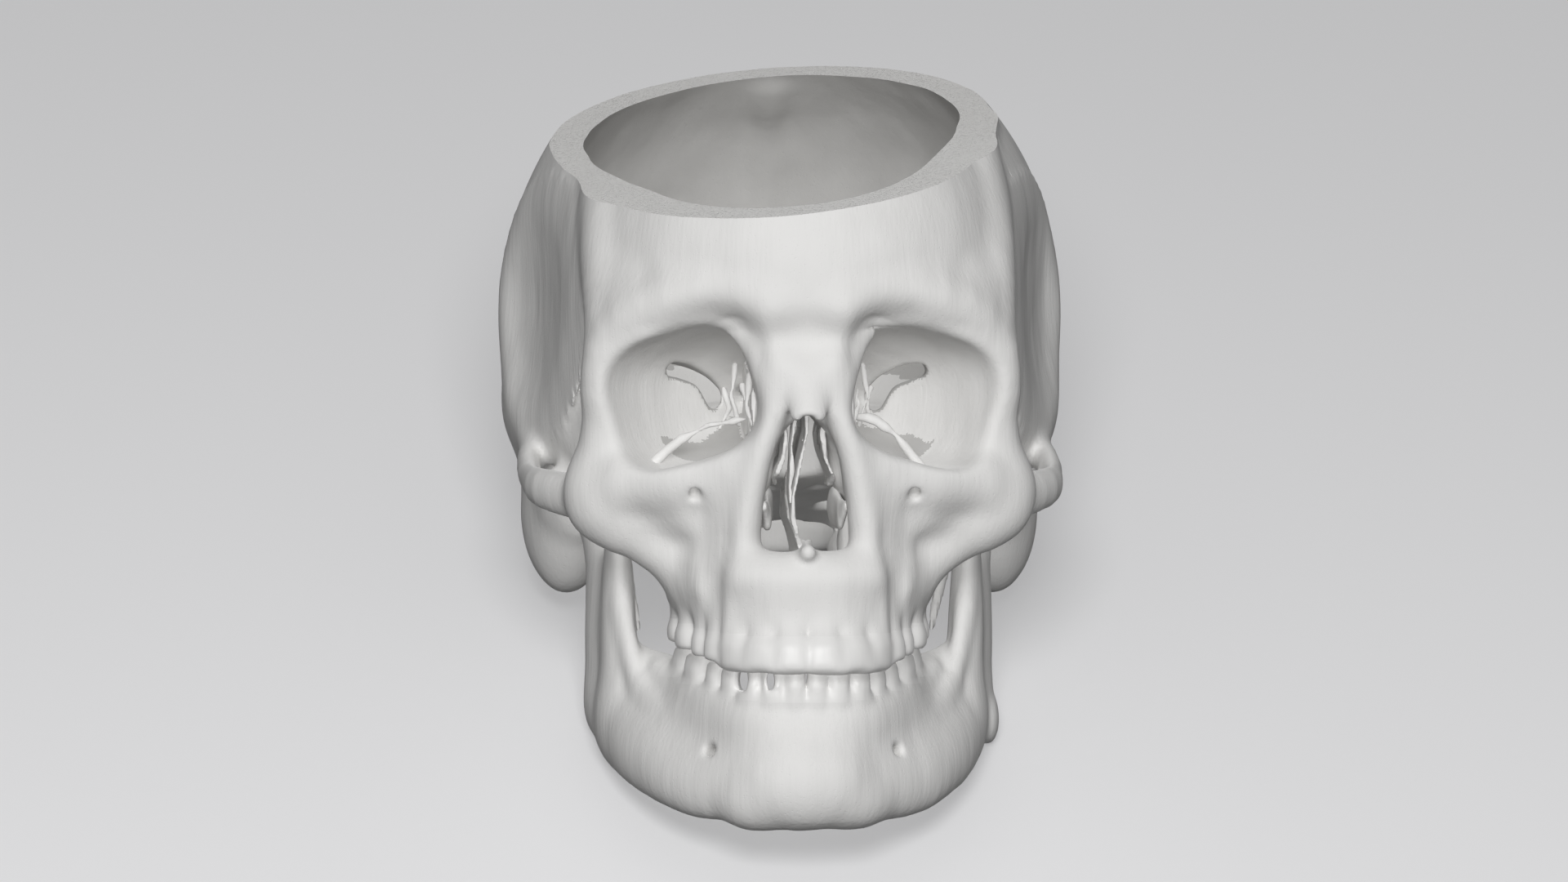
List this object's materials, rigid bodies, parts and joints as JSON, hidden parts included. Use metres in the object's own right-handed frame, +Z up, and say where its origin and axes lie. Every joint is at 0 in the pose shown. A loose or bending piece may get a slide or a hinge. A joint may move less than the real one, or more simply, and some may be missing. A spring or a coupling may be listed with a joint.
{
  "type": "human skull model",
  "caption": "Dry human skull with the vault sawn open and a hinged lower jaw, as separate bones and teeth for teaching.",
  "frame": {"origin": "centre of the footprint of the bounding box, on the surface that the skull lies on", "axes": "+Z up; -Y towards the face; +X to the skull's own left. The skull lies leaned back 32.6 degrees from its ear-eye plane, on the angles of the jaw and the back of the head"},
  "size_m": [0.1432, 0.2336, 0.1547],
  "materials": {
    "bone": "matte, dry and slightly pitted bone",
    "tooth": "satin enamel"
  },
  "bodies": {
    "skull": {"ethmoid_bone": "bone", "parietal_left": "bone", "parietal_right": "bone", "nasal_bone_left": "bone", "nasal_bone_right": "bone", "frontal_bone": "bone", "occipital_bone": "bone", "temporal_left": "bone", "temporal_right": "bone", "sphenoid_bone": "bone", "zygomatic_left": "bone", "zygomatic_right": "bone", "lacrimal_left": "bone", "lacrimal_right": "bone", "palatine_left": "bone", "palatine_right": "bone", "maxilla_left": "bone", "maxilla_right": "bone", "vomer": "bone", "inferior_concha_left": "bone", "inferior_concha_right": "bone", "upper_central_incisor_left": "tooth", "upper_central_incisor_right": "tooth", "upper_lateral_incisor_left": "tooth", "upper_lateral_incisor_right": "tooth", "upper_canine_left": "tooth", "upper_canine_right": "tooth", "upper_first_premolar_left": "tooth", "upper_first_premolar_right": "tooth", "upper_second_premolar_left": "tooth", "upper_second_premolar_right": "tooth", "upper_first_molar_left": "tooth", "upper_first_molar_right": "tooth", "upper_second_molar_left": "tooth", "upper_second_molar_right": "tooth"},
    "lower_jaw": {"mandible": "bone", "lower_central_incisor_left": "tooth", "lower_central_incisor_right": "tooth", "lower_lateral_incisor_left": "tooth", "lower_lateral_incisor_right": "tooth", "lower_canine_left": "tooth", "lower_canine_right": "tooth", "lower_first_premolar_left": "tooth", "lower_first_premolar_right": "tooth", "lower_second_premolar_left": "tooth", "lower_second_premolar_right": "tooth", "lower_first_molar_left": "tooth", "lower_first_molar_right": "tooth", "lower_second_molar_left": "tooth", "lower_second_molar_right": "tooth"}
  },
  "joints": [
    {"name": "jaw_hinge", "type": "hinge", "parent": "skull", "child": "lower_jaw", "pos_m": [0, 0.00008, 0.05229], "axis": [1, 0, 0], "range_deg": [0, 22]}
  ]
}
